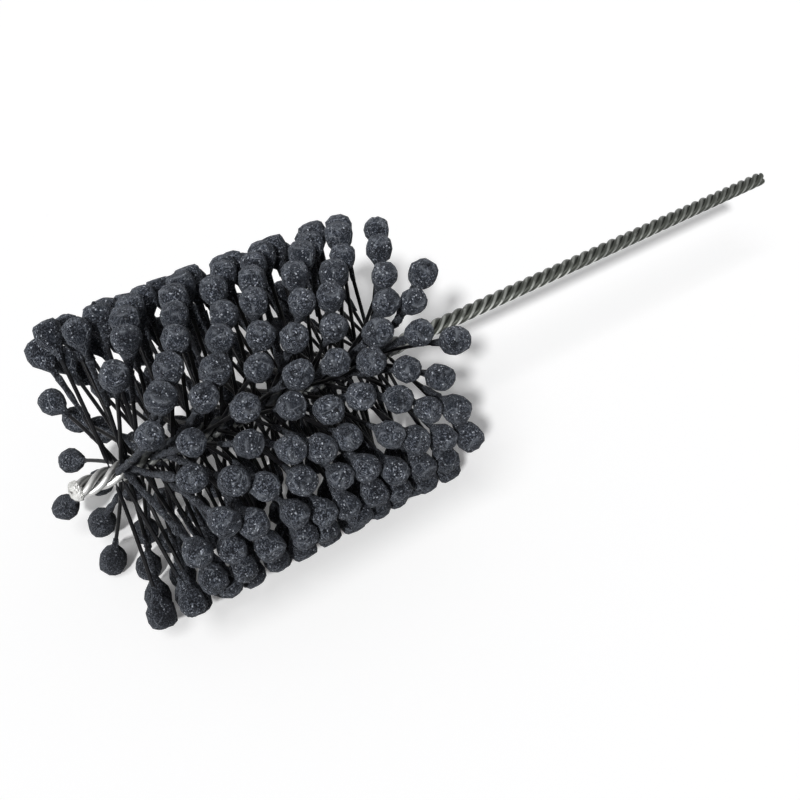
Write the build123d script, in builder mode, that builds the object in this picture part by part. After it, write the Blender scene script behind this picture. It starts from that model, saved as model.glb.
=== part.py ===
"""Abrasive bore brush: a flexible ball hone on a stem of twisted wire.

Four steel wires are twisted left-handed into one stem. Between them run two gaps, at right angles to
each other, and the nylon filaments are nipped in these gaps in turn. So each filament stands a
quarter turn from the one before it, less what the lay has turned meanwhile. An abrasive globule is
built up on each filament end by dipping: a barrel with a flattened outer end, and a cone that runs
down into a sleeve round the filament.

The stem's axis is the X axis. The origin is the centre of the shank's cut end, the tip points along
-X, and Z is up. Sizes are in millimetres and angles in degrees, unless a name says radians.
"""

import os
from math import atan2, ceil, cos, hypot, pi, radians, sin, sqrt, tan
from random import Random

from build123d import *

# Stem wires
overall_length = 343.0
wire_count = 4
wire_diameter = 2.4
wire_clearance = 0.03
head_lay_pitch = 25.2
shank_lay_pitch = 21.3
run_out_length = 12.0
run_out_extra_turn = 23.0
stem_turn = 47.3
path_points_per_turn = 8
path_points_beyond_end = 2
wire_stretches = 13

# Filaments
tip_to_first_filament = 11.7
filament_spacing = 1.015
filament_count = 111
filaments_per_row = 5
filament_diameter = 1.35
nip_diameter = 0.5
nip_overhang = 0.4
nip_taper_length = 1.2
straight_past_nip = 0.8
last_filament_margin = 2.0

# Globules, with heights measured outwards from the widest place
globule_reach = 49.0
globule_diameter = 9.5
globule_radius_spread = 0.3
cap_height = 4.8
cap_edge_height = 4.35
cap_edge_diameter = 5.0
shoulder_height = 2.6
shoulder_diameter = 8.7
cone_top_depth = 3.0
cone_top_diameter = 8.2
cone_foot_depth = 6.2
cone_fillet = 3.0
sleeve_length = 4.4
sleeve_length_spread = 0.45
sleeve_wall = 0.3
bond_clearance = 0.02

# Uneven stand of the globules: the first ones lean out over the tip, most of them on one side, the
# whole lay sways, each one strays by itself, and those that crowd each other are pushed apart
tip_splay = 5.5
tip_splay_length = 25.0
tip_splay_side = 310
sway = 1.8
sway_wavelength = 60.0
sway_crest = 50.0
scatter = 2.2
least_gap = 0.6
crowding_passes = 80
least_bend = 0.2
uneven_seed = 7

# Sizes worked out from the driving dimensions
wire_radius = wire_diameter / 2
filament_radius = filament_diameter / 2
nip_radius = nip_diameter / 2
row_count = ceil(filament_count / filaments_per_row)
last_filament = tip_to_first_filament + filament_spacing * (filament_count - 1)
head_lay_length = last_filament + last_filament_margin
quarter_turn = 90
half_turn = 180
whole_turn = 360
trimming_radius = 4 * wire_diameter
search_step = 0.1
search_span = 60
halvings = 40


# Lay of the wires

def wire_to_wire(radius, pitch):
    """Return the least distance between the centre lines of two neighbouring wires of the lay."""
    rise = pitch / (2 * pi)
    turns = [radians(-search_step * step) for step in range(int(search_span / search_step))]
    return min(sqrt((rise * turn) ** 2 + 2 * radius**2 * (1 + sin(turn))) for turn in turns)


def wire_to_filament(radius, pitch):
    """Return the least distance between a wire's centre line and a filament nipped beside it."""
    rise = pitch / (2 * pi)
    turns = [radians(-search_step * step) for step in range(int(search_span / search_step))]
    return min(hypot(rise * turn, radius * sin(pi / 4 + turn)) for turn in turns)


def lay_radius(distance_at, pitch, wanted):
    """Return the radius of the wires' centre lines where distance_at reaches the wanted distance."""
    low = 0.0
    high = 2 * wanted
    for _ in range(halvings):
        middle = (low + high) / 2
        if distance_at(middle, pitch) < wanted:
            low = middle
        else:
            high = middle
    return high


shank_lay_radius = lay_radius(wire_to_wire, shank_lay_pitch, wire_diameter + wire_clearance)
head_lay_radius = lay_radius(wire_to_filament, head_lay_pitch, wire_radius + nip_radius + wire_clearance)


def run_out_share(from_tip):
    """Return how far the place lies through the run-out, from 0 in the head to 1 on the shank."""
    return min(max((from_tip - head_lay_length) / run_out_length, 0), 1)


def eased(share):
    """Return the share with a soft start and a soft end."""
    return share**2 * (3 - 2 * share)


def eased_so_far(share):
    """Return the sum of all eased shares from 0 up to this one."""
    return share**3 - share**4 / 2


def centre_line_radius(from_tip):
    """Return the radius of the wires' centre lines, eased from the head's to the shank's."""
    narrowing = eased(run_out_share(from_tip))
    return head_lay_radius + (shank_lay_radius - head_lay_radius) * narrowing


def lay_angle(from_tip):
    """Return how far the lay has turned the wires at this place. A left-hand lay turns backwards."""
    share = run_out_share(from_tip)
    shank_length = max(from_tip - head_lay_length - run_out_length, 0)
    at_shank_pitch = run_out_length * eased_so_far(share) + shank_length
    at_head_pitch = from_tip - at_shank_pitch
    turns = at_head_pitch / head_lay_pitch + at_shank_pitch / shank_lay_pitch
    return stem_turn - whole_turn * turns - run_out_extra_turn * eased(share)


def wire_point(from_tip, corner):
    """Return the point of a wire's centre line at this distance from the tip."""
    radius = centre_line_radius(from_tip)
    angle = radians(lay_angle(from_tip) + corner)
    return (from_tip - overall_length, radius * cos(angle), radius * sin(angle))


# Filaments and globules

nip_half_length = head_lay_radius + wire_radius + nip_overhang
taper_end = nip_half_length + nip_taper_length
straight_half_length = taper_end + straight_past_nip


def filament_angle(number, side):
    """Return the angle round the stem at which one half of a filament leaves it."""
    from_tip = tip_to_first_filament + filament_spacing * number
    return lay_angle(from_tip) + quarter_turn * (number % 2) + half_turn * side


def leaning_stand(number, side, dice):
    """Return how far a globule leans along the stem and round it, and its radius, before crowding."""
    from_tip = tip_to_first_filament + filament_spacing * number
    towards_splay = radians(filament_angle(number, side) - tip_splay_side)
    near_tip = max(1 - filament_spacing * number / tip_splay_length, 0)
    splayed = tip_splay * near_tip * max(cos(towards_splay), 0)
    swayed = sway * cos(2 * pi * (from_tip - sway_crest) / sway_wavelength)
    along = dice.uniform(-scatter, scatter) - splayed
    around = dice.uniform(-scatter, scatter) + swayed
    radius = globule_diameter / 2 + dice.uniform(-globule_radius_spread, globule_radius_spread)
    return [along, around, radius]


def push_apart(stands, first, second):
    """Push two globules apart, each by half of what they lack, along the line between them."""
    numbers_apart = second[0] - first[0]
    turn = filament_angle(*second) - filament_angle(*first)
    turn_apart = (turn + half_turn) % whole_turn - half_turn
    one = stands[first]
    other = stands[second]
    along = filament_spacing * numbers_apart + other[0] - one[0]
    around = radians(turn_apart) * globule_reach + other[1] - one[1]
    apart = hypot(along, around)
    lack = one[2] + other[2] + least_gap - apart
    if lack > 0:
        share = lack / 2 / apart
        one[0] -= along * share
        one[1] -= around * share
        other[0] += along * share
        other[1] += around * share


def find_stands():
    """Return how far each globule leans along the stem and round it, and its radius."""
    dice = Random(uneven_seed)
    ends = [(number, side) for number in range(filament_count) for side in (0, 1)]
    stands = {end: leaning_stand(*end, dice) for end in ends}
    reach_of_crowding = globule_diameter + 2 * globule_radius_spread + least_gap + 2 * scatter + tip_splay
    span = ceil(reach_of_crowding / filament_spacing)
    pairs = [(one, other) for one in ends for other in ends if 0 < other[0] - one[0] <= span]
    for _ in range(crowding_passes):
        for one, other in pairs:
            push_apart(stands, one, other)
    return stands


stands = find_stands()


def half_filament(number, side):
    """Return the places along one half of a filament, and the size of its globule.

    The half leaves the nip square to the stem, bends towards the side where its globule leans, and
    runs straight through the sleeve to the middle of the globule.
    """
    dice = Random(uneven_seed * filament_count + 2 * number + side)
    from_tip = tip_to_first_filament + filament_spacing * number
    angle = radians(filament_angle(number, side))
    along = Vector(1, 0, 0)
    radial = Vector(0, cos(angle), sin(angle))
    around = along.cross(radial)
    shift_along, shift_around, globule_radius = stands[number, side]
    sleeve = sleeve_length * (1 + dice.uniform(-sleeve_length_spread, sleeve_length_spread))
    straight = cone_foot_depth * 2 * globule_radius / globule_diameter + sleeve

    arc_length = globule_reach - straight - straight_half_length
    lever = arc_length / 2 + straight
    bend = max(hypot(shift_along, shift_around) / lever, radians(least_bend))
    bend_radius = arc_length / bend
    towards = (along * shift_along + around * shift_around).normalized()
    base = Vector(from_tip - overall_length, 0, 0)

    def on_arc(turned):
        ahead = straight_half_length + bend_radius * sin(turned)
        aside = bend_radius * (1 - cos(turned))
        return base + radial * ahead + towards * aside

    outward = radial * cos(bend) + towards * sin(bend)
    sleeve_end = on_arc(bend)
    return {
        "base": base,
        "radial": radial,
        "arc": (on_arc(0), on_arc(bend / 2), sleeve_end),
        "outward": outward,
        "centre": sleeve_end + outward * straight,
        "sleeve": sleeve,
        "globule_radius": globule_radius,
    }


def draw_nip():
    """Draw the half outline of a filament's middle, waisted where the wires nip it."""
    half_outline = [
        (0, straight_half_length),
        (filament_radius, straight_half_length),
        (filament_radius, taper_end),
        (nip_radius, nip_half_length),
    ]
    other_half = [(x, -y) for x, y in reversed(half_outline)]
    Polyline(*half_outline, *other_half, close=True)


def draw_globule(globule_radius, sleeve):
    """Draw a globule's half outline: bore, sleeve, cone, barrel, shoulder and flattened cap."""
    size = 2 * globule_radius / globule_diameter
    bore_radius = filament_radius + bond_clearance
    sleeve_radius = bore_radius + sleeve_wall
    cone_foot = (sleeve_radius, -cone_foot_depth * size)
    cone_top = (cone_top_diameter / 2 * size, -cone_top_depth * size)
    shoulder = (shoulder_diameter / 2 * size, shoulder_height * size)
    cap_edge = (cap_edge_diameter / 2 * size, cap_edge_height * size)
    pole = (0, cap_height * size)
    sleeve_end = (sleeve_radius, cone_foot[1] - sleeve)
    cone_angle = atan2(cone_top[0] - cone_foot[0], cone_top[1] - cone_foot[1])
    widest_fillet = sleeve / tan(cone_angle / 2)
    Polyline(pole, (0, 0), (bore_radius, 0), (bore_radius, sleeve_end[1]), sleeve_end)
    FilletPolyline(sleeve_end, cone_foot, cone_top, radius=min(cone_fillet, 0.9 * widest_fillet))
    barrel = ThreePointArc(cone_top, (globule_radius, 0), shoulder)
    TangentArc(shoulder, cap_edge, tangent=barrel % 1)
    TangentArc(pole, cap_edge, tangent=(1, 0))


def make_filament(number):
    """Make one filament, from the centre of one globule through the nip to the centre of the other."""
    halves = [half_filament(number, side) for side in (0, 1)]
    base = halves[0]["base"]
    radial = halves[0]["radial"]
    across = Vector(1, 0, 0)
    with BuildSketch(Plane(origin=base, x_dir=across, z_dir=across.cross(radial))) as nip:
        with BuildLine():
            draw_nip()
        make_face()
    revolve(nip.sketch, axis=Axis(base, radial))
    for half in halves:
        with BuildLine() as run:
            ThreePointArc(*half["arc"])
            Line(half["arc"][-1], half["centre"])
        with BuildSketch(Plane(origin=half["arc"][0], z_dir=half["radial"])) as section:
            Circle(filament_radius)
        sweep(section.sketch, path=run.wire())


def make_globule(number, side):
    """Make the globule on one end of a filament."""
    half = half_filament(number, side)
    across = Vector(1, 0, 0).cross(half["outward"]).normalized()
    plane = Plane(origin=half["centre"], x_dir=across, z_dir=across.cross(half["outward"]))
    with BuildSketch(plane) as section:
        with BuildLine():
            draw_globule(half["globule_radius"], half["sleeve"])
        make_face()
    revolve(section.sketch, axis=Axis(half["centre"], half["outward"]))


# The pieces

os.makedirs("parts", exist_ok=True)

path_step = shank_lay_pitch / path_points_per_turn
path_steps = range(-path_points_beyond_end, ceil(overall_length / path_step) + path_points_beyond_end + 1)

for wire in range(wire_count):
    corner = quarter_turn * (wire + 0.5)
    with BuildPart() as stem_wire:
        path = Spline(*[wire_point(path_step * step, corner) for step in path_steps], mode=Mode.PRIVATE)
        for stretch in range(wire_stretches):
            part_path = path.trim(stretch / wire_stretches, (stretch + 1) / wire_stretches)
            with BuildSketch(part_path ^ 0):
                Circle(wire_radius)
            sweep(path=part_path, is_frenet=True, clean=False)
        with BuildSketch(Plane.YZ):
            Circle(trimming_radius)
        extrude(amount=-overall_length, mode=Mode.INTERSECT, clean=False)
    stem_wire.part.label = f"stem_wire_{wire + 1}"
    export_step(stem_wire.part, f"parts/{stem_wire.part.label}.step")

for row in range(row_count):
    numbers = range(row * filaments_per_row, min((row + 1) * filaments_per_row, filament_count))
    with BuildPart() as filament_row:
        for number in numbers:
            make_filament(number)
    filament_row.part.label = f"filament_row_{row + 1:02d}"
    export_step(filament_row.part, f"parts/{filament_row.part.label}.step")

    with BuildPart() as globule_row:
        for number in numbers:
            make_globule(number, 0)
            make_globule(number, 1)
    globule_row.part.label = f"globule_row_{row + 1:02d}"
    export_step(globule_row.part, f"parts/{globule_row.part.label}.step")
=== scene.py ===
# %% [markdown]
# # A flexible abrasive bore brush
#
# The brush is a stem of four twisted steel wires. Black nylon filaments are nipped between the wires,
# and each filament end carries a globule of abrasive grit. It is used in a drill, to hone the wall of
# a bore. The frame that was built in CAD comes in first, in metres. Blender then gives it what CAD
# leaves plain: steel with grime in its grooves, dusty nylon, and gritty globules that differ from
# each other.

# %% Load the frame
from collections import namedtuple
from math import cos, radians, sin
from random import Random

import bpy
import numpy as np
from mathutils import Matrix, Vector


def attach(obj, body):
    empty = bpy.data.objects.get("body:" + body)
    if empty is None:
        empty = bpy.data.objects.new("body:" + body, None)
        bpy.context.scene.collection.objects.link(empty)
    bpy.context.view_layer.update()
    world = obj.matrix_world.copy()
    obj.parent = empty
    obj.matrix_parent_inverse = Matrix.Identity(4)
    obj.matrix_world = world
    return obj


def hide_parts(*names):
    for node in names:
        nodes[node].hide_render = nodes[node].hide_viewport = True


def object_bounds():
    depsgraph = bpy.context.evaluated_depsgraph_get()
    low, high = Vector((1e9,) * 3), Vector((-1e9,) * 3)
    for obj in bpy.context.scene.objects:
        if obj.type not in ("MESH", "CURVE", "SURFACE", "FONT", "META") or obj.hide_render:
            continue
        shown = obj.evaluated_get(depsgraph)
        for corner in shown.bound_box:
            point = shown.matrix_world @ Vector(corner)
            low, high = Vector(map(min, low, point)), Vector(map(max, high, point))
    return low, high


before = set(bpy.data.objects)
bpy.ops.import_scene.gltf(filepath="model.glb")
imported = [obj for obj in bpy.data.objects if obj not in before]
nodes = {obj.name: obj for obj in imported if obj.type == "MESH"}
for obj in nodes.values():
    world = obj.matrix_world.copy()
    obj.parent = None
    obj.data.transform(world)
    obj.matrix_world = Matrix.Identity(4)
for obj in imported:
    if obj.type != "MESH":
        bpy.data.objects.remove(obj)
cad_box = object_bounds()
MM = 0.001
print("CAD box in mm:", [[round(value / MM, 1) for value in corner] for corner in cad_box])
print(len(nodes), "CAD nodes,", sum(len(node.data.polygons) for node in nodes.values()), "triangles")

# %% [markdown]
# ## Camera
#
# The camera comes before everything else, because each piece is judged through it. The photograph was
# taken from the tip's side and from above, near enough that the tip looks larger than the shank.
# That could be guessed by eye, but the globules stand in a regular screw, so the place and the lens
# were worked out from where the screw puts them in the picture.

# %% Place the camera
VIEW_AZIMUTH = radians(-38.7)
VIEW_ELEVATION = radians(37.5)
CAMERA_PLACE = Vector((-439.9, -284.0, 252.6)) * MM
LENS_MM = 53.5
SENSOR_MM = 36
NEAREST_SEEN = 10 * MM

camera_data = bpy.data.cameras.new("photo_camera")
camera_data.lens = LENS_MM
camera_data.sensor_width = SENSOR_MM
camera_data.clip_start = NEAREST_SEEN
camera = bpy.data.objects.new("photo_camera", camera_data)
camera.location = CAMERA_PLACE
camera.rotation_euler = (radians(90) - VIEW_ELEVATION, 0, VIEW_AZIMUTH)
bpy.context.scene.collection.objects.link(camera)
bpy.context.scene.camera = camera
bpy.context.scene.view_settings.view_transform = "Standard"
print("Camera", round(CAMERA_PLACE.length / MM), "mm from the shank's end")

# %% [markdown]
# ## Tools for materials
#
# A material is a net of nodes, each with one simple job. It can be laid out by hand in the shader
# editor. Here a few short functions add the nodes and link them, so that a finish reads like a recipe.
# What goes into a socket is either a plain number or colour, or another node's output.

# %% Helpers that add and feed nodes
def add_node(tree, kind, **settings):
    """Add a node and set its properties."""
    node = tree.nodes.new(kind)
    for name, value in settings.items():
        setattr(node, name, value)
    return node


def feed(tree, socket, value):
    """Link a socket to another, or set its number or colour."""
    if isinstance(value, bpy.types.NodeSocket):
        tree.links.new(value, socket)
    else:
        socket.default_value = value


def feed_all(tree, node, values):
    """Feed several of a node's inputs by name."""
    for name, value in values.items():
        feed(tree, node.inputs[name], value)


def calculate(tree, operation, *values, clamp=False):
    """Add a Math node and return its result."""
    node = add_node(tree, "ShaderNodeMath", operation=operation, use_clamp=clamp)
    for socket, value in zip(node.inputs, values):
        feed(tree, socket, value)
    return node.outputs[0]


def multiply(tree, first, *others):
    """Multiply two or more values."""
    for other in others:
        first = calculate(tree, "MULTIPLY", first, other)
    return first


def larger(tree, first, second):
    """Return the larger of two values."""
    return calculate(tree, "MAXIMUM", first, second)


print("Helpers for nodes are ready")

# %% Helpers for ranges, colours and places
def fade(tree, value, low, high, at_low=0.0, at_high=1.0):
    """Turn a value's range from low to high into a smooth one from at_low to at_high."""
    node = add_node(tree, "ShaderNodeMapRange", interpolation_type="SMOOTHSTEP")
    for socket, number in zip(node.inputs, (value, low, high, at_low, at_high)):
        feed(tree, socket, number)
    return node.outputs[0]


def blend_colours(tree, share, first, second):
    """Mix two colours and return the result."""
    node = add_node(tree, "ShaderNodeMix", data_type="RGBA")
    feed(tree, node.inputs[0], share)
    feed(tree, node.inputs[6], first)
    feed(tree, node.inputs[7], second)
    return node.outputs[2]


def channels(tree, colour):
    """Take a colour apart into Red, Green and Blue."""
    node = add_node(tree, "ShaderNodeSeparateColor")
    feed(tree, node.inputs["Color"], colour)
    return node.outputs


def coordinates(tree, place):
    """Take a place apart into X, Y and Z."""
    node = add_node(tree, "ShaderNodeSeparateXYZ")
    feed(tree, node.inputs["Vector"], place)
    return node.outputs


def start_material(name):
    """Make a material and return it with its node tree and its shader."""
    material = bpy.data.materials.new(name)
    material.use_nodes = True
    return material, material.node_tree, material.node_tree.nodes["Principled BSDF"]


print("Helpers for ranges, colours and places are ready")

# %% [markdown]
# ## Floor, background and light
#
# The object lies on white. A white floor under plain light comes out a light grey, and more light
# would bleach the brush. So the floor and the world glow a little for the rays that the camera and
# shiny surfaces see, and stay plain for the light that reaches the brush. The shadow is still there,
# because the floor's own reflection is what the shadow darkens.

# %% Make the white room and the floor
WHITE = (1, 1, 1, 1)
BLACK = (0, 0, 0, 1)
ROOM_LIGHT = (0.13, 0.13, 0.133, 1)
FLOOR_SIZE = 8
FLOOR_BOUNCE = (0.10, 0.10, 0.10, 1)
FLOOR_GLOW = (0.10, 0.10, 0.10, 1)
FLOOR_ROUGHNESS = 0.9


def seen_directly(tree):
    """Return 1 for the rays of the camera and of mirror or glass surfaces, and 0 for other light."""
    path = add_node(tree, "ShaderNodeLightPath").outputs
    seen = larger(tree, path["Is Camera Ray"], path["Is Glossy Ray"])
    return larger(tree, seen, path["Is Transmission Ray"])


world = bpy.data.worlds.new("white_room")
world.use_nodes = True
background = world.node_tree.nodes["Background"]
room_colour = blend_colours(world.node_tree, seen_directly(world.node_tree), ROOM_LIGHT, WHITE)
feed(world.node_tree, background.inputs["Color"], room_colour)
bpy.context.scene.world = world

floor_height = cad_box[0][2]
bpy.ops.object.select_all(action="DESELECT")
bpy.ops.mesh.primitive_plane_add(size=FLOOR_SIZE, location=(0, 0, floor_height))
floor = bpy.context.object
floor.name = "floor"
floor_paint, tree, shader = start_material("white_floor")
seen = seen_directly(tree)
feed_all(tree, shader, {
    "Base Color": blend_colours(tree, seen, FLOOR_BOUNCE, WHITE),
    "Roughness": FLOOR_ROUGHNESS,
    "Specular IOR Level": 0.0,
    "Emission Color": blend_colours(tree, seen, BLACK, FLOOR_GLOW),
    "Emission Strength": 1.0,
})
floor.data.materials.append(floor_paint)
print("Floor at", round(floor_height / MM, 1), "mm")

# %% [markdown]
# Two far lamps light the brush from the camera's side. The main one is low and small in the sky, so it
# throws the crisp shadow of the photograph. The other is broad, stands higher and fills in softly.
# Near area lamps would do as well in the picture, but the light would then fall off along the stem.

# %% Hang the two lamps
def add_lamp(name, azimuth, elevation, spread, strength):
    """Add a far lamp that shines from an azimuth and elevation, with its apparent size in degrees."""
    turn = radians(azimuth)
    rise = radians(elevation)
    towards_lamp = Vector((sin(turn) * cos(rise), -cos(turn) * cos(rise), sin(rise)))
    lamp_data = bpy.data.lights.new(name, "SUN")
    lamp_data.angle = radians(spread)
    lamp_data.energy = strength
    lamp = bpy.data.objects.new(name, lamp_data)
    lamp.location = towards_lamp
    lamp.rotation_euler = (-towards_lamp).to_track_quat("-Z", "Y").to_euler()
    bpy.context.scene.collection.objects.link(lamp)
    print(name, "stands", elevation, "degrees above the floor")


add_lamp("main_lamp", azimuth=-46, elevation=35.5, spread=3.5, strength=2.95)
add_lamp("top_lamp", azimuth=-58, elevation=53, spread=24, strength=0.9)

# %% [markdown]
# ## Grit
#
# The globules are grains of abrasive in a dark binder. Close to, the surface is a mass of small dark
# grains, and here and there the face of one catches the light: that is painted on as a glint, a
# painted highlight. A photograph of grit could be wrapped round the globules, but this scene uses no
# pictures. Cells do it better anyway: each Voronoi cell is one grain with its own shade, and the
# distance to its centre makes its bump. The group is used for the globules, and again for the residue
# on the wires and the dust on the nylon.

# %% Helpers for textures and groups
FLOAT = "NodeSocketFloat"
VECTOR = "NodeSocketVector"


def add_texture(tree, kind, place, scale, **settings):
    """Add a texture with so many features to a metre and return its node."""
    node = add_node(tree, kind, **settings)
    feed_all(tree, node, {"Vector": place, "Scale": scale})
    return node


def start_group(name, inputs, outputs):
    """Start a shader node group. Return its tree, what it is given, and the node for its results."""
    tree = bpy.data.node_groups.new(name, "ShaderNodeTree")
    for socket_name, kind in inputs.items():
        tree.interface.new_socket(socket_name, in_out="INPUT", socket_type=kind)
    for socket_name in outputs:
        tree.interface.new_socket(socket_name, in_out="OUTPUT", socket_type=FLOAT)
    return tree, tree.nodes.new("NodeGroupInput").outputs, tree.nodes.new("NodeGroupOutput")


def use_group(tree, group, values):
    """Place a group in a tree, feed its inputs and return its outputs."""
    node = add_node(tree, "ShaderNodeGroup", node_tree=group)
    feed_all(tree, node, values)
    return node.outputs


print("Helpers for textures and groups are ready")

# %% Build the grains
GRAIN_CONTRAST = 2.4
PAINTED_GLINT_RANGE = (0.955, 0.995)
LOWEST_GRAIN = 0.4
FINE_PER_GRAIN = 0.75
FINE_SEEN = (0.40, 0.60)

grit_group, given, grit_results = start_group(
    "grit",
    {"Place": VECTOR, "Grains per metre": FLOAT},
    ("Shade", "Painted glint", "Height", "Patch", "Ridge", "Facet"),
)
place = given["Place"]
grains = add_texture(grit_group, "ShaderNodeTexVoronoi", place, given["Grains per metre"], feature="F1")
chances = channels(grit_group, grains.outputs["Color"])
fine_per_metre = multiply(grit_group, given["Grains per metre"], FINE_PER_GRAIN)
fine = add_texture(grit_group, "ShaderNodeTexNoise", place, fine_per_metre)
feed_all(grit_group, fine, {"Detail": 3.0, "Roughness": 0.75})
lit_grain = calculate(grit_group, "POWER", chances["Red"], GRAIN_CONTRAST)
noisy = fade(grit_group, fine.outputs["Fac"], *FINE_SEEN)
dome = calculate(grit_group, "SUBTRACT", 1.0, grains.outputs["Distance"])
stand = multiply(grit_group, dome, calculate(grit_group, "ADD", chances["Blue"], LOWEST_GRAIN))
feed_all(grit_group, grit_results, {
    "Shade": multiply(grit_group, lit_grain, noisy),
    # Painted glint: a few grains are picked out to be painted bright, as if their faces caught the light.
    "Painted glint": fade(grit_group, chances["Green"], *PAINTED_GLINT_RANGE),
    "Height": calculate(grit_group, "ADD", stand, fine.outputs["Fac"]),
})
print("Grains take", len(grit_group.nodes), "nodes")

# %% [markdown]
# Between the size of a grain and the size of a globule there is more to see. The binder is lighter in
# broad patches, the surface breaks into facets that are a few millimetres across, and in places the
# facets meet in a thin raised ridge.

# %% Add patches, ridges and facets
PATCHES_PER_METRE = 230.0
PATCH_EDGE = (0.36, 0.64)
FACETS_PER_METRE = 150.0
RIDGE_WIDTH = 0.05
RIDGES_BREAK = (0.48, 0.60)

broad = add_texture(grit_group, "ShaderNodeTexNoise", place, PATCHES_PER_METRE)
feed(grit_group, broad.inputs["Detail"], 2.0)
cracks = add_texture(
    grit_group, "ShaderNodeTexVoronoi", place, FACETS_PER_METRE, feature="DISTANCE_TO_EDGE"
)
line = fade(grit_group, cracks.outputs["Distance"], 0.0, RIDGE_WIDTH, 1.0, 0.0)
broken = fade(grit_group, broad.outputs["Fac"], *RIDGES_BREAK)
facets = add_texture(grit_group, "ShaderNodeTexVoronoi", place, FACETS_PER_METRE, feature="F1")
feed_all(grit_group, grit_results, {
    "Patch": fade(grit_group, broad.outputs["Fac"], *PATCH_EDGE),
    "Ridge": multiply(grit_group, line, broken),
    "Facet": channels(grit_group, facets.outputs["Color"])["Red"],
})
print("Grit group has", len(grit_group.nodes), "nodes")

# %% [markdown]
# All three finishes change with the place: along the stem, or out from its axis. Each could work that
# out for itself, but a second group does it once for all of them.

# %% Build the group that finds a point's place round the axis
axis_group, given, axis_results = start_group(
    "place_round_the_axis", {"Place": VECTOR}, ("Along", "Out")
)
point = coordinates(axis_group, given["Place"])
squares = [multiply(axis_group, point[name], point[name]) for name in "YZ"]
out = calculate(axis_group, "SQRT", calculate(axis_group, "ADD", *squares))
feed_all(axis_group, axis_results, {"Along": point["X"], "Out": out})
print("Axis group has", len(axis_group.nodes), "nodes")

# %% Helpers that use the two groups
def object_place(tree):
    """Return a point's place on the object, in metres."""
    return add_node(tree, "ShaderNodeTexCoord").outputs["Object"]


def grit_at(tree, place, grains_per_metre):
    """Return the grit pattern at a place."""
    return use_group(tree, grit_group, {"Place": place, "Grains per metre": grains_per_metre})


def axis_at(tree, place):
    """Return how far along the stem and how far out from its axis a place is."""
    return use_group(tree, axis_group, {"Place": place})


def add_bump(tree, shader, height, strength, distance):
    """Let a height stand out of the surface, as far as the distance where it is 1."""
    bump = add_node(tree, "ShaderNodeBump")
    feed_all(tree, bump, {"Strength": strength, "Distance": distance, "Height": height})
    feed(tree, shader.inputs["Normal"], bump.outputs["Normal"])


print("The groups are ready to use")

# %% [markdown]
# ## Finish of the globules
#
# The binder is a dark slate blue, matt and dry. Grains range from near black to mid grey, and a few
# carry a painted glint. The grit is painted darker towards the stem and on the underside. This is
# painted shade, where the globules and filaments shade each other and the light from above doesn't
# reach. That could be painted on each globule by hand. A measure of the place does all 222 at once:
# how low a point lies, and how far out from the stem.

# %% Find where the grit gets painted shade
GLOBULE_GRAINS_PER_METRE = 2200.0
UNDERSIDE = (-46 * MM, 8 * MM)
UNDERSIDE_SHADE = 0.8
STEM_SIDE = (34 * MM, 48 * MM)
LEAST_UNSHADED = 0.3

abrasive, tree, shader = start_material("abrasive_grit")
place = object_place(tree)
grit = grit_at(tree, place, GLOBULE_GRAINS_PER_METRE)
# Painted shade: darker on the underside and towards the stem, where the grit lies in shade.
underside_shade = fade(tree, coordinates(tree, place)["Z"], *UNDERSIDE, UNDERSIDE_SHADE, 0.0)
stem_side_shade = fade(tree, axis_at(tree, place)["Out"], *STEM_SIDE, 1.0, 0.0)
painted_shade = larger(tree, underside_shade, stem_side_shade)
unshaded = fade(tree, painted_shade, 0.0, 1.0, 1.0, LEAST_UNSHADED)
print("Started", abrasive.name)

# %% [markdown]
# The colour is laid on in layers, from the binder up to the painted glints. Each layer is weaker
# under the painted shade. Along the rim of each globule the grit is painted paler, as a painted
# highlight and a painted sheen. The ridges, a broken line round the edge of the cap and a surface
# seen at a low angle give that painted rim, and a little sheen in the shader adds to it.

# %% Colour the grit
BINDER_DARK = (0.005, 0.006, 0.0085, 1)
BINDER_LIGHT = (0.013, 0.016, 0.022, 1)
PAINTED_SHADE_COLOUR = (0.006, 0.0065, 0.008, 1)
GRAIN_COLOUR = (0.25, 0.275, 0.33, 1)
PAINTED_RIM_COLOUR = (0.18, 0.195, 0.22, 1)
PAINTED_GLINT_COLOUR = (0.50, 0.53, 0.59, 1)
FACET_EDGE = (0.15, 0.6)
DARKEST_FACET = 0.45
CAP_EDGE_SHARPNESS = 4.0
PAINTED_SHEEN_SHARPNESS = 5.0
PAINTED_SHEEN_SHARE = 0.5
RIDGE_HIGHLIGHT_SHARE = 0.8
PAINTED_GLINT_SHARE = 0.95

binder = blend_colours(tree, grit["Patch"], BINDER_DARK, BINDER_LIGHT)
# Painted shade: the binder turns near black where the grit lies in shade.
shaded_binder = blend_colours(tree, painted_shade, binder, PAINTED_SHADE_COLOUR)
facet = fade(tree, grit["Facet"], *FACET_EDGE, DARKEST_FACET, 1.0)
grainy = blend_colours(tree, multiply(tree, grit["Shade"], facet, unshaded), shaded_binder, GRAIN_COLOUR)
cap_edge = add_node(tree, "ShaderNodeAttribute", attribute_name="cap_edge").outputs["Fac"]
ridge = larger(tree, grit["Ridge"], calculate(tree, "POWER", cap_edge, CAP_EDGE_SHARPNESS))
# Painted sheen: the grit is painted paler where the surface is seen at a low angle.
low_angle = add_node(tree, "ShaderNodeLayerWeight").outputs["Facing"]
painted_sheen = multiply(tree, calculate(tree, "POWER", low_angle, PAINTED_SHEEN_SHARPNESS), PAINTED_SHEEN_SHARE)
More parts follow.
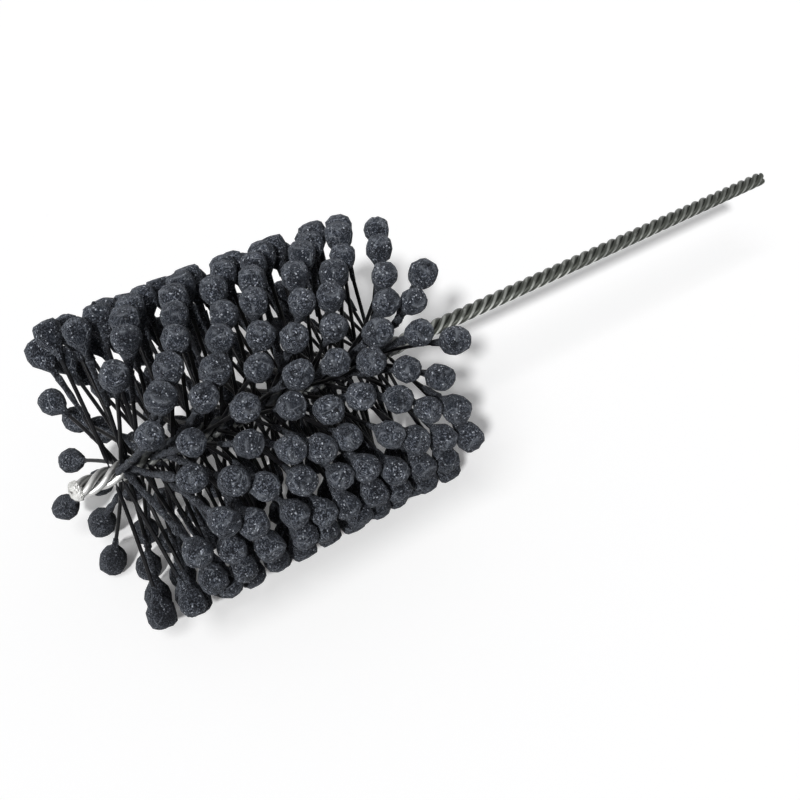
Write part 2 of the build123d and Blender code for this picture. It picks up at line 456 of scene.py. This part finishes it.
# Painted highlight along the ridges and the cap's edge, joined with the painted sheen.
painted_rim = larger(tree, multiply(tree, ridge, RIDGE_HIGHLIGHT_SHARE), painted_sheen)
with_painted_rim = blend_colours(tree, multiply(tree, painted_rim, unshaded), grainy, PAINTED_RIM_COLOUR)
# Painted glint on a few grains, weaker under the painted shade.
painted_glints = multiply(tree, grit["Painted glint"], PAINTED_GLINT_SHARE, unshaded)
feed(tree, shader.inputs["Base Color"], blend_colours(tree, painted_glints, with_painted_rim, PAINTED_GLINT_COLOUR))
print("Coloured", abrasive.name)

# %% Give the grit its roughness, sheen and bump
LIT_GRAIN = 0.8
BINDER_ROUGHNESS = 0.8
GRAIN_ROUGHNESS = 0.5
GRIT_SHINE = 0.12
DUST_SHEEN = 0.15
DUST_SHEEN_ROUGHNESS = 0.3
DUST_SHEEN_COLOUR = (0.72, 0.78, 0.9, 1)
GRIT_BUMP = (0.9, 0.6 * MM)

feed_all(tree, shader, {
    "Roughness": fade(tree, grit["Shade"], 0.0, LIT_GRAIN, BINDER_ROUGHNESS, GRAIN_ROUGHNESS),
    "Specular IOR Level": GRIT_SHINE,
    "Sheen Weight": DUST_SHEEN,
    "Sheen Roughness": DUST_SHEEN_ROUGHNESS,
    "Sheen Tint": DUST_SHEEN_COLOUR,
})
add_bump(tree, shader, calculate(tree, "ADD", grit["Height"], ridge), *GRIT_BUMP)
print("Made", abrasive.name)

# %% [markdown]
# ## Finish of the nylon filaments
#
# The filaments are black nylon with a soft shine. Where they come out of a globule they carry its
# dust, and at the stem they are dull with what has run down. The distance from the stem's axis tells
# where along a filament a point is, so no map has to be unwrapped.

# %% Make the nylon finish
NYLON_BLACK = (0.004, 0.004, 0.005, 1)
NYLON_WORN = (0.010, 0.010, 0.011, 1)
DUST_COLOUR = (0.030, 0.034, 0.042, 1)
DUST_GRAINS_PER_METRE = 2600.0
NEAR_GLOBULE = (33 * MM, 44 * MM)
GLOBULE_DUST = 0.9
NEAR_STEM = (3 * MM, 9 * MM)
STEM_DUST = 0.4
DUST_GRAIN = (0.02, 0.3)
NYLON_ROUGHNESS = 0.30
DUST_ROUGHNESS = 0.7
NYLON_SHINE = 0.07
DUST_BUMP = (0.35, 0.2 * MM)

nylon, tree, shader = start_material("black_nylon")
place = object_place(tree)
out = axis_at(tree, place)["Out"]
grit = grit_at(tree, place, DUST_GRAINS_PER_METRE)
worn = blend_colours(tree, grit["Patch"], NYLON_BLACK, NYLON_WORN)
near_globule = fade(tree, out, *NEAR_GLOBULE, 0.0, GLOBULE_DUST)
near_stem = fade(tree, out, *NEAR_STEM, STEM_DUST, 0.0)
dusty_place = larger(tree, near_globule, near_stem)
dust = multiply(tree, dusty_place, fade(tree, grit["Shade"], *DUST_GRAIN))
feed_all(tree, shader, {
    "Base Color": blend_colours(tree, dust, worn, DUST_COLOUR),
    "Roughness": fade(tree, dusty_place, 0.0, 1.0, NYLON_ROUGHNESS, DUST_ROUGHNESS),
    "Specular IOR Level": NYLON_SHINE,
})
add_bump(tree, shader, multiply(tree, grit["Height"], dusty_place), *DUST_BUMP)
print("Made", nylon.name)

# %% [markdown]
# ## Finish of the twisted wires
#
# Zinc-grey wire, drawn smooth. The outer crest of each wire carries a painted highlight. It is brighter
# towards the head, and brighter still on the lower side, where it is a painted reflection of the floor.
# The grooves between the wires hold grime. Inside the head the wires are dark with abrasive that has
# run down the filaments, and the last centimetre at the tip is clean and bright. A mask could be
# painted for each of these. Here all of them follow from where a point is: how far out from the axis,
# how far along, and how high.

# %% Find what lies where on the wires
TIP_X = cad_box[0][0]
WIRE_GRAINS_PER_METRE = 1800.0
GROOVE = (1.5 * MM, 2.75 * MM)
CREST = (2.86 * MM, 3.05 * MM)
HIGHLIGHT_SPAN = (160 * MM, 330 * MM)
HIGHLIGHT_SPAN_SHARES = (0.85, 0.35)
HIGHLIGHT_PATCH = (0.0, 0.5)
LEAST_HIGHLIGHT = 0.35
LOWER_SIDE = (-0.5 * MM, 2.2 * MM)
UPPER_SIDE_SHARE = 0.3
CLEAN_TIP = (12 * MM, 19 * MM)
RESIDUE_STARTS = (15 * MM, 25 * MM)
RESIDUE_ENDS = (122 * MM, 138 * MM)
RESIDUE_PATCH = (0.15, 0.75)
LEAST_RESIDUE = 0.45
GRIME_SHARES = (0.95, 0.6)

steel, tree, shader = start_material("twisted_steel_wire")
place = object_place(tree)
axis = axis_at(tree, place)
grit = grit_at(tree, place, WIRE_GRAINS_PER_METRE)
from_tip = calculate(tree, "SUBTRACT", axis["Along"], TIP_X)
# Painted highlight: the outer crest of each wire is painted bright, more towards the head.
crest = fade(tree, axis["Out"], *CREST)
highlight_along = fade(tree, from_tip, *HIGHLIGHT_SPAN, *HIGHLIGHT_SPAN_SHARES)
patchy_highlight = multiply(tree, highlight_along, fade(tree, grit["Patch"], *HIGHLIGHT_PATCH, LEAST_HIGHLIGHT, 1.0))
# Painted reflection of the floor: the highlight is stronger on the lower side of the stem.
floor_reflection_side = fade(tree, coordinates(tree, place)["Z"], *LOWER_SIDE, 1.0, UPPER_SIDE_SHARE)
painted_highlight = multiply(tree, crest, patchy_highlight, floor_reflection_side)
at_tip = fade(tree, from_tip, *CLEAN_TIP, 1.0, 0.0)
in_groove = fade(tree, axis["Out"], *GROOVE, 1.0, 0.0)
grime = multiply(tree, in_groove, fade(tree, at_tip, 0.0, 1.0, *GRIME_SHARES))
in_head = multiply(
    tree, fade(tree, from_tip, *RESIDUE_STARTS), fade(tree, from_tip, *RESIDUE_ENDS, 1.0, 0.0)
)
residue = multiply(tree, in_head, fade(tree, grit["Patch"], *RESIDUE_PATCH, LEAST_RESIDUE, 1.0))
print("Started", steel.name)

# %% Finish the steel
STEEL_COLOUR = (0.054, 0.058, 0.051, 1)
PAINTED_STEEL_HIGHLIGHT = (0.78, 0.80, 0.76, 1)
STEEL_TIP = (0.56, 0.56, 0.55, 1)
GRIME_COLOUR = (0.035, 0.036, 0.030, 1)
RESIDUE_COLOUR = (0.030, 0.033, 0.040, 1)
GRIME_COVERS = 0.8
STEEL_ROUGHNESS = 0.36
COVERED_ROUGHNESS = 0.75
RESIDUE_BUMP = (0.5, 0.3 * MM)

# The painted highlight is mixed into the steel's colour.
metal = blend_colours(tree, painted_highlight, STEEL_COLOUR, PAINTED_STEEL_HIGHLIGHT)
metal = blend_colours(tree, at_tip, metal, STEEL_TIP)
grimed = blend_colours(tree, grime, metal, GRIME_COLOUR)
covered = larger(tree, residue, multiply(tree, grime, GRIME_COVERS))
feed_all(tree, shader, {
    "Base Color": blend_colours(tree, residue, grimed, RESIDUE_COLOUR),
    "Metallic": calculate(tree, "SUBTRACT", 1.0, covered, clamp=True),
    "Roughness": fade(tree, covered, 0.0, 1.0, STEEL_ROUGHNESS, COVERED_ROUGHNESS),
})
add_bump(tree, shader, multiply(tree, grit["Height"], covered), *RESIDUE_BUMP)
print("Made", steel.name)

# %% Give the CAD pieces their finish
def refinish(piece, material):
    """Give a piece one material in place of what it had."""
    piece.data.materials.clear()
    piece.data.materials.append(material)


wires = [node for name, node in sorted(nodes.items()) if name.startswith("stem_wire")]
filaments = [node for name, node in sorted(nodes.items()) if name.startswith("filament_row")]
for wire in wires:
    refinish(wire, steel)
for row in filaments:
    refinish(row, nylon)
print(len(wires), "wires and", len(filaments), "rows of filaments are finished")

# %% [markdown]
# ## Globules
#
# A globule is built up by dipping, so it is a barrel rather than a ball: full round the sides, with a
# flattened outer end, and a cone that runs down the filament. No two are the same. Modelling 222 of
# them would take for ever, and one copied 222 times looks like a casting. So eight are modelled, each
# with its own lumps, and copied with a turn and a size of their own. A copy has few faces, because
# there are hundreds of them. The CAD globules say where each one goes.

# %% Helpers that shape a globule
BARREL_RADIUS = 4.75 * MM
EDGE_BAND = 0.75 * MM
EDGE_MARKS = (0.3, 0.9, 1.0)
POLE_RADIUS = 1.2 * MM


def in_metres(*sizes):
    """Turn sizes in millimetres into metres."""
    return [size * MM for size in sizes]


def select_by_height(mesh, low, high):
    """Select the vertices between two heights, in edit mode's own way."""
    bpy.ops.object.mode_set(mode="OBJECT")
    for vertex in mesh.vertices:
        vertex.select = low <= vertex.co.z <= high
    for edge in mesh.edges:
        edge.select = all(mesh.vertices[index].select for index in edge.vertices)
    for face in mesh.polygons:
        face.select = all(mesh.vertices[index].select for index in face.vertices)
    bpy.ops.object.mode_set(mode="EDIT")


def roughen(lumps, outward, seed):
    """Push the selected vertices about by up to lumps, by a share outward along the surface's normal."""
    bpy.ops.transform.vertex_random(offset=lumps, uniform=0.0, normal=outward, seed=seed)


def put_in_order(mesh):
    """List a mesh's faces by their corners, because edit mode may list them in another order each time."""
    places = [vertex.co.copy() for vertex in mesh.vertices]
    faces = sorted(tuple(face.vertices) for face in mesh.polygons)
    mesh.clear_geometry()
    mesh.from_pydata(places, [], faces)


def mark_cap_edge(mesh, height, seed):
    """Store where the cap's edge lies, in broken stretches, so that the finish can find it."""
    dice = Random(seed)
    edge = mesh.attributes.new("cap_edge", "FLOAT", "POINT")
    for vertex, mark in zip(mesh.vertices, edge.data):
        if abs(vertex.co.z - height) < EDGE_BAND and vertex.co.xy.length > POLE_RADIUS:
            mark.value = dice.choice(EDGE_MARKS)


print("Helpers that shape a globule are ready")

# %% Describe how a globule is modelled
SIDES = 13
CAP_HEIGHT = 4.8 * MM
BARREL_FOOT = -0.8 * BARREL_RADIUS
CONE_FOOT = 6.2 * MM
CONE_LUMPS = 0.14 * MM
SLEEVE_LENGTH = 4.4 * MM
SLEEVE_RADIUS = 0.95 * MM


def model_globule(name, stations, lumps, seed):
    """Model a globule along +Z with its widest place at the origin.

    It starts as the sleeve's end ring. Each station lifts a new ring out of the last one and sets its
    radius, and the last ring is drawn together to the pole.
    """
    bpy.ops.object.select_all(action="DESELECT")
    foot = -CONE_FOOT - SLEEVE_LENGTH
    bpy.ops.mesh.primitive_circle_add(
        vertices=SIDES, radius=SLEEVE_RADIUS, fill_type="NGON", location=(0, 0, foot)
    )
    form = bpy.context.object
    form.name = name
    bpy.ops.object.transform_apply(location=True, rotation=True, scale=True)
    bpy.ops.object.mode_set(mode="EDIT")
    bpy.ops.mesh.select_all(action="SELECT")
    height = foot
    radius = SLEEVE_RADIUS
    for next_height, next_radius in stations:
        lift = (0, 0, next_height - height)
        bpy.ops.mesh.extrude_region_move(TRANSFORM_OT_translate={"value": lift})
        ratio = next_radius / radius
        bpy.ops.transform.resize(value=(ratio, ratio, 1), center_override=(0, 0, next_height))
        height = next_height
        radius = next_radius
    bpy.ops.mesh.extrude_region_move(TRANSFORM_OT_translate={"value": (0, 0, CAP_HEIGHT - height)})
    bpy.ops.mesh.merge(type="CENTER")
    bpy.ops.mesh.select_mode(type="VERT")
    select_by_height(form.data, BARREL_FOOT, BARREL_RADIUS)
    roughen(lumps, outward=0.6, seed=seed)
    select_by_height(form.data, foot, BARREL_FOOT)
    roughen(CONE_LUMPS, outward=0.8, seed=seed + 1)
    bpy.ops.mesh.select_all(action="SELECT")
    bpy.ops.mesh.normals_make_consistent(inside=False)
    bpy.ops.object.mode_set(mode="OBJECT")
    put_in_order(form.data)
    bpy.ops.object.shade_smooth()
    mark_cap_edge(form.data, height, seed)
    return form


print("A globule has", SIDES, "sides")

# %% [markdown]
# A station is a height and a radius in millimetres, and six of them make an outline from the cone to
# the cap. Five outlines with different lumps make the eight forms.

# %% Model the eight globule forms
def outline(*stations):
    """Turn stations in millimetres into metres."""
    return [in_metres(*station) for station in stations]


PLAIN = outline((-7.0, 1.2), (-4.6, 2.7), (-2.2, 4.4), (0.6, 4.75), (3.1, 4.1), (4.4, 2.5))
BARREL = outline((-6.4, 1.4), (-4.3, 3.2), (-2.0, 4.6), (1.2, 4.75), (3.5, 4.1), (4.3, 2.9))
CONE = outline((-7.6, 1.3), (-5.0, 2.4), (-2.4, 4.0), (0.2, 4.75), (2.9, 4.3), (4.4, 2.3))
FLAT = outline((-7.2, 1.2), (-4.8, 2.4), (-2.2, 4.1), (0.8, 4.75), (3.4, 4.4), (4.45, 3.5))
ROUND = outline((-6.8, 1.2), (-4.5, 2.9), (-2.3, 4.3), (0.4, 4.75), (2.8, 4.15), (4.3, 2.3))
forms = [
    model_globule("form_plain", PLAIN, lumps=0.20 * MM, seed=3),
    model_globule("form_round", ROUND, lumps=0.26 * MM, seed=11),
    model_globule("form_barrel", BARREL, lumps=0.22 * MM, seed=5),
    model_globule("form_lumpy", BARREL, lumps=0.34 * MM, seed=8),
    model_globule("form_cone", CONE, lumps=0.24 * MM, seed=13),
    model_globule("form_flat", FLAT, lumps=0.24 * MM, seed=17),
    model_globule("form_crumbly", FLAT, lumps=0.40 * MM, seed=25),
    model_globule("form_uneven", PLAIN, lumps=0.38 * MM, seed=21),
]
print(len(forms), "forms, each with", len(forms[0].data.polygons), "faces")

# %% [markdown]
# The CAD globules of one row stand well apart round the stem, so the corners of their meshes fall
# into ten groups by angle. Each group is measured as one would with a calliper: its width along the
# stem is the barrel's diameter, its outermost point is the cap, and the line from the sleeve's end to
# the barrel's middle is its direction.

# %% Measure the CAD globules
Globule = namedtuple("Globule", "centre outward radius neck")
SMALLEST_JUMP = radians(5)
FOOT_BAND = 0.3 * MM


def measure_globules(node):
    """Measure each globule in a CAD row."""
    points = np.zeros(len(node.data.vertices) * 3)
    node.data.vertices.foreach_get("co", points)
    points = points.reshape(-1, 3)
    angles = np.arctan2(points[:, 2], points[:, 1])
    order = np.argsort(angles)
    points = points[order]
    angles = angles[order]
    jumps = np.nonzero(np.diff(angles) > SMALLEST_JUMP)[0] + 1
    groups = np.split(points, jumps)
    across_the_seam = angles[0] + 2 * np.pi - angles[-1] < SMALLEST_JUMP
    if across_the_seam:
        groups[0] = np.concatenate((groups.pop(), groups[0]))
    return [measure_globule(group) for group in groups]


def measure_globule(group):
    """Find a globule's middle, its direction, its radius and the length of its neck."""
    along = np.array((1.0, 0.0, 0.0))
    middle = (group.min(0) + group.max(0)) / 2
    out = middle * (0, 1, 1)
    out /= np.linalg.norm(out)
    around = np.cross(along, out)
    lows = [float((group @ axis).min()) for axis in (along, around, out)]
    highs = [float((group @ axis).max()) for axis in (along, around, out)]
    radius = (highs[0] - lows[0]) / 2
    middle_height = highs[2] - CAP_HEIGHT * radius / BARREL_RADIUS
    centre = along * (lows[0] + highs[0]) / 2 + around * (lows[1] + highs[1]) / 2 + out * middle_height
    foot = group[group @ out < lows[2] + FOOT_BAND].mean(0)
    neck = centre - foot
    length = float(np.linalg.norm(neck))
    return Globule(Vector(centre), Vector(neck / length), radius, length)


row_names = sorted(name for name in nodes if name.startswith("globule_row"))
globule_rows = {name: measure_globules(nodes[name]) for name in row_names}
all_globules = [globule for row in globule_rows.values() for globule in row]
radii = [round(globule.radius / MM, 2) for globule in all_globules]
necks = [round(globule.neck / MM, 2) for globule in all_globules]
print(len(all_globules), "globules, radius", min(radii), "to", max(radii), "mm")
print("Their necks are", min(necks), "to", max(necks), "mm long")

# %% [markdown]
# A copy is a new mesh whose corners are moved to their place, so that its object can stay at the
# origin, unturned, and the grit pattern runs on from one copy to the next. The copies of one row are
# joined, and the row takes the CAD row's place.

# %% Helpers that copy and join
def aimed_along(direction):
    """Return the turn that points +Z along a direction."""
    return direction.to_track_quat("Z", "Y").to_matrix().to_4x4()


def random_turn(dice):
    """Return a random turn about +Z."""
    return Matrix.Rotation(dice.uniform(0, radians(360)), 4, "Z")


def set_in_place(name, mesh, matrix):
    """Move a mesh's corners to their place and show it as a new object."""
    mesh.transform(matrix)
    piece = bpy.data.objects.new(name, mesh)
    bpy.context.scene.collection.objects.link(piece)
    return piece


def join_as(name, objects, material):
    """Join objects into one named piece that rides on the body."""
    bpy.ops.object.select_all(action="DESELECT")
    for piece in objects:
        piece.select_set(True)
    bpy.context.view_layer.objects.active = objects[0]
    bpy.ops.object.join()
    piece = bpy.context.object
    piece.name = name
    refinish(piece, material)
    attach(piece, "root")
    return piece


def put_away(models):
    """Remove the models that were only there to be copied."""
    for model in models:
        bpy.data.objects.remove(model)


print("Helpers that copy and join are ready")

# %% Copy the forms to their places
def copy_globule(form, globule, dice):
    """Copy a form, fit its neck, turn it at random about its own axis and set it in place."""
    mesh = form.data.copy()
    size = globule.radius / BARREL_RADIUS
    sleeve_share = (globule.neck / size - CONE_FOOT) / SLEEVE_LENGTH
    for vertex in mesh.vertices:
        below = -CONE_FOOT - vertex.co.z
        if below > 0:
            vertex.co.z -= below * (sleeve_share - 1)
    aim = Matrix.Translation(globule.centre) @ aimed_along(globule.outward)
    return set_in_place("globule", mesh, aim @ random_turn(dice) @ Matrix.Scale(size, 4))


dice = Random(11)
for row_name, globules in globule_rows.items():
    copies = [copy_globule(dice.choice(forms), globule, dice) for globule in globules]
    row = join_as(row_name.replace("globule_row", "gritty_globules"), copies, abrasive)
    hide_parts(row_name)
put_away(forms)
print(len(globule_rows), "rows of globules are in place")

# %% [markdown]
# ## Grit that ran down
#
# While the mix was wet, some of it ran down the filaments and set there in lumps, and more of it
# gathered on the stem. A lump could be carved by hand, but a rope of them follows a filament better
# when it is drawn as one: a ring is extruded along the filament's own line, each time a little wider
# or narrower, and a subdivision rounds it off. The subdivision numbers its new corners by the faces,
# so the faces are put in order before it, and the finer lumps come out the same in every run.

# %% Helpers that draw a lumpy rope
FINER_LUMPS = 0.4


def extrude_along(points, radii, lumps, seed, sides=8, rounded=True):
    """Model a closed, uneven rope along some points, with a radius at each of them."""
    bpy.ops.object.select_all(action="DESELECT")
    turn = (points[-1] - points[0]).to_track_quat("Z", "Y").to_euler()
    bpy.ops.mesh.primitive_circle_add(
        vertices=sides, radius=radii[0], fill_type="NGON", location=points[0], rotation=turn
    )
    rope = bpy.context.object
    bpy.ops.object.transform_apply(location=True, rotation=True, scale=True)
    bpy.ops.object.mode_set(mode="EDIT")
    bpy.ops.mesh.select_all(action="SELECT")
    for before, after, old, new in zip(points, points[1:], radii, radii[1:]):
        bpy.ops.mesh.extrude_region_move(TRANSFORM_OT_translate={"value": after - before})
        bpy.ops.transform.resize(value=(new / old, new / old, new / old), center_override=after)
    bpy.ops.mesh.select_all(action="SELECT")
    roughen(lumps, outward=0.5, seed=seed)
    bpy.ops.mesh.normals_make_consistent(inside=False)
    bpy.ops.object.mode_set(mode="OBJECT")
    put_in_order(rope.data)
    if rounded:
        round_off(rope, FINER_LUMPS * lumps, seed + 1)
    bpy.ops.object.shade_smooth()
    return rope


def round_off(rope, lumps, seed):
    """Subdivide a rope once and give it finer lumps."""
    rounding = rope.modifiers.new("rounding", "SUBSURF")
    rounding.levels = rounding.render_levels = 1
    bpy.ops.object.modifier_apply(modifier=rounding.name)
    bpy.ops.object.mode_set(mode="EDIT")
    bpy.ops.mesh.select_all(action="SELECT")
    roughen(lumps, outward=0.8, seed=seed)
    bpy.ops.object.mode_set(mode="OBJECT")


print("Helpers that draw a lumpy rope are ready")

# %% [markdown]
# The filaments that are coated all the way are named by their row and by the angle round the stem at
# which their globule stands. The globule gives the filament's line back: it leaves the sleeve in the
# globule's own direction and bends in one smooth curve until it meets the stem squarely.

# %% Model the lumpy coats
REACH = 49.0 * MM
FREE_LENGTH_START = 5.9 * MM
STEM_RADIUS = 3 * MM
COAT_STEPS = 14
COAT_RADII = (0.8, 0.95, 1.15, 1.45, 1.8)
COAT_LUMPS = 0.6 * MM
COATED = {
    "globule_row_01": (132, 178),
    "globule_row_02": (121, 151),
    "globule_row_03": (140,),
    "globule_row_04": (112, 158),
    "globule_row_05": (127,),
    "globule_row_09": (20, 200),
    "globule_row_14": (75, 260),
    "globule_row_18": (150, 300),
    "globule_row_21": (10, 120, 240),
}


def nearest_by_angle(globules, angle):
    """Return the globule that stands nearest to an angle round the stem, in degrees."""
    aim = Vector((0, cos(radians(angle)), sin(radians(angle))))
    return max(globules, key=lambda globule: globule.centre.normalized().dot(aim))


def chosen_globules(choice):
    """Return the globules that a table of rows and angles names."""
    return [nearest_by_angle(globule_rows[row], angle) for row, angles in choice.items() for angle in angles]


def filament_line(globule):
    """Return points down a filament's middle line, from the stem to the end of its globule's sleeve."""
    bent_length = REACH - globule.neck - FREE_LENGTH_START
    foot = globule.centre - globule.outward * globule.neck
    knee = globule.centre - globule.outward * (globule.neck + bent_length / 2)
    stem = Vector((knee.x, 0, 0))
    start = stem + (knee - stem).normalized() * STEM_RADIUS
    shares = [step / COAT_STEPS for step in range(COAT_STEPS + 1)]
    return [start.lerp(knee, share).lerp(knee.lerp(foot, share), share) for share in shares]


dice = Random(5)
coats = []
for globule in chosen_globules(COATED):
    points = filament_line(globule)
    radii = in_metres(*[dice.choice(COAT_RADII) for _ in points])
    coats.append(extrude_along(points, radii, COAT_LUMPS, seed=len(coats)))
coated = join_as("filament_coats", coats, abrasive)
print("Coats:", len(coats), "with", len(coated.data.polygons), "faces")

# %% [markdown]
# On most filaments the mix stopped sooner, in a ragged drip below the sleeve. There are many of these,
# so three are modelled and copied like the globules. A drip is widest at the sleeve and thins out
# towards the stem.

# %% Hang drips below the sleeves
DRIP_SIDES = 6
DRIP_LENGTH = 15 * MM
DRIP_LUMPS = 0.22 * MM
DRIP_SHARE = 0.5
DRIP_OVERLAP = 1 * MM
DRIP_STRETCH = (0.5, 1.3)


def model_drip(name, radii, seed):
    """Model a drip along +Z, from its thin end up to the sleeve's end at the origin."""
    steps = len(radii) - 1
    points = [Vector((0, 0, DRIP_LENGTH * (step / steps - 1))) for step in range(steps + 1)]
    drip = extrude_along(points, in_metres(*radii), DRIP_LUMPS, seed, DRIP_SIDES, rounded=False)
    drip.name = name
    return drip


drip_forms = [
    model_drip("drip_long", (0.72, 1.0, 0.85, 1.25, 1.05, 1.4), seed=41),
    model_drip("drip_knotty", (0.75, 1.3, 0.9, 0.95, 1.5, 1.2), seed=44),
    model_drip("drip_thick", (0.8, 1.1, 1.3, 1.15, 1.45, 1.6), seed=47),
]
dice = Random(19)
drips = []
for globule in all_globules:
    if dice.random() > DRIP_SHARE:
        continue
    foot = globule.centre - globule.outward * (globule.neck - DRIP_OVERLAP)
    turned = Matrix.Translation(foot) @ aimed_along(globule.outward) @ random_turn(dice)
    stretch = Matrix.Diagonal((1, 1, dice.uniform(*DRIP_STRETCH), 1))
    drips.append(set_in_place("drip", dice.choice(drip_forms).data.copy(), turned @ stretch))
dripped = join_as("filament_drips", drips, abrasive)
put_away(drip_forms)
print("Drips:", len(drips), "with", len(dripped.data.polygons), "faces")

# %% [markdown]
# The lumps on the stem are a few boulders, copied with a size and a turn of their own, and sunk a
# little into the wires. Most of them lie behind the bright tip, where the first filaments start.

# %% Scatter lumps on the stem
LUMP_SIZE = 1 * MM
LUMP_SHAPE = (1.3, 1.0, 0.8)
LUMP_ROUGHNESS = 0.28 * MM
LUMP_COUNT = 90
LUMP_DISTANCES = (2.7, 3.6)
LUMP_SIZES = (0.7, 1.7)
NEAREST_LUMP = 15 * MM
LUMPY_LENGTH = 112 * MM
CROWDING = 1.7


def model_lump(seed):
    """Model a flattened boulder at the origin."""
    bpy.ops.object.select_all(action="DESELECT")
    bpy.ops.mesh.primitive_ico_sphere_add(subdivisions=2, radius=LUMP_SIZE, location=(0, 0, 0))
    lump = bpy.context.object
    bpy.ops.object.mode_set(mode="EDIT")
    bpy.ops.mesh.select_all(action="SELECT")
    bpy.ops.transform.resize(value=LUMP_SHAPE)
    roughen(LUMP_ROUGHNESS, outward=0.6, seed=seed)
    bpy.ops.object.mode_set(mode="OBJECT")
    bpy.ops.object.shade_smooth()
    return lump


lump_forms = [model_lump(seed) for seed in (2, 4, 6)]
lumps = []
for _ in range(LUMP_COUNT):
    from_tip = NEAREST_LUMP + LUMPY_LENGTH * dice.random() ** CROWDING
    angle = dice.uniform(0, radians(360))
    outward = Vector((0, cos(angle), sin(angle)))
    place = Vector((TIP_X + from_tip, 0, 0)) + outward * dice.uniform(*LUMP_DISTANCES) * MM
    turned = Matrix.Translation(place) @ aimed_along(outward) @ random_turn(dice)
    size = Matrix.Scale(dice.uniform(*LUMP_SIZES), 4)
    lumps.append(set_in_place("lump", dice.choice(lump_forms).data.copy(), turned @ size))
stem_lumps = join_as("stem_residue", lumps, abrasive)
put_away(lump_forms)
print("Lumps:", LUMP_COUNT, "with", len(stem_lumps.data.polygons), "faces")

# %% [markdown]
# ## Cut ends
#
# The wires were cut off with a wheel, which leaves a bright, ragged burr on each and a rough crust of
# smeared metal over all four. Here and there a filament's own end looks out of its globule. All of it
# is small, but the tip is the nearest place to the eye. A burr could be pulled out of the wire's own
# mesh, but a CAD mesh is never changed. So each is a short rope of a few rings like the coats, on the
# face or cap that carries it. The bright metal has a finish of its own, pitted like any ground cut.

# %% Make the cut steel finish
CUT_DULL = (0.60, 0.60, 0.58, 1)
CUT_BRIGHT = (0.95, 0.95, 0.94, 1)
CUT_GRAINS_PER_METRE = 2600.0
PITTED = (0.75, 1.0)
PIT_SHARE = 0.85
CUT_ROUGHNESSES = (0.35, 0.6)
CUT_BUMP = (0.8, 0.4 * MM)

cut_steel, tree, shader = start_material("cut_steel")
grit = grit_at(tree, object_place(tree), CUT_GRAINS_PER_METRE)
cut_metal = blend_colours(tree, grit["Shade"], CUT_DULL, CUT_BRIGHT)
pits = fade(tree, grit["Patch"], *PITTED, 0.0, PIT_SHARE)
feed_all(tree, shader, {
    "Base Color": blend_colours(tree, pits, cut_metal, GRIME_COLOUR),
    "Metallic": 1.0,
    "Roughness": fade(tree, grit["Patch"], 0.0, 1.0, *CUT_ROUGHNESSES),
})
add_bump(tree, shader, grit["Height"], *CUT_BUMP)
print("Made", cut_steel.name)

# %% Model the burrs and the crust
CUT_FACE_BAND = 0.02 * MM
BURR_HEIGHTS = in_metres(-0.5, 0.3, 0.8, 1.2)
BURR_RADII = in_metres(1.22, 1.42, 1.3, 0.75)
BURR_LUMPS = 0.22 * MM
BURR_SIDES = 10
FIRST_BURR_SEED = 30
CRUST_HEIGHTS = in_metres(-0.8, 0.4, 1.6, 2.6, 3.2)
CRUST_RADII = in_metres(3.1, 3.8, 3.6, 2.7, 1.4)
CRUST_LUMPS = 0.55 * MM
CRUST_SIDES = 14
CRUST_SEED = 77


def cut_face_middle(wire):
    """Return the middle of a wire's cut end at the tip."""
    ends = [vertex.co for vertex in wire.data.vertices if vertex.co.x < TIP_X + CUT_FACE_BAND]
    lows = Vector([min(end[axis] for end in ends) for axis in range(3)])
    highs = Vector([max(end[axis] for end in ends) for axis in range(3)])
    return (lows + highs) / 2


def out_of_the_tip(start, heights):
    """Return points that stand at some heights above a point on the cut end."""
    return [start + Vector((-height, 0, 0)) for height in heights]


burrs = []
for wire in wires:
    points = out_of_the_tip(cut_face_middle(wire), BURR_HEIGHTS)
    seed = FIRST_BURR_SEED + len(burrs)
    burrs.append(extrude_along(points, BURR_RADII, BURR_LUMPS, seed, BURR_SIDES))
crust_points = out_of_the_tip(Vector((TIP_X, 0, 0)), CRUST_HEIGHTS)
burrs.append(extrude_along(crust_points, CRUST_RADII, CRUST_LUMPS, CRUST_SEED, CRUST_SIDES))
cut_ends = join_as("tip_burrs", burrs, cut_steel)
print("Burrs and crust have", len(cut_ends.data.polygons), "faces")

# %% Model the filament ends
ENDS_SHOWN = {
    "globule_row_22": (95, 250),
    "globule_row_03": (66,),
    "globule_row_12": (30, 160),
    "globule_row_17": (330,),
}
END_HEIGHTS = in_metres(4.0, 5.2, 5.8)
END_RADII = in_metres(0.75, 0.68, 0.5)
END_LUMPS = 0.08 * MM
FIRST_END_SEED = 60

ends = []
for globule in chosen_globules(ENDS_SHOWN):
    points = [globule.centre + globule.outward * height for height in END_HEIGHTS]
    ends.append(extrude_along(points, END_RADII, END_LUMPS, seed=FIRST_END_SEED + len(ends)))
filament_ends = join_as("filament_ends", ends, nylon)
print("Filament ends have", len(filament_ends.data.polygons), "faces")
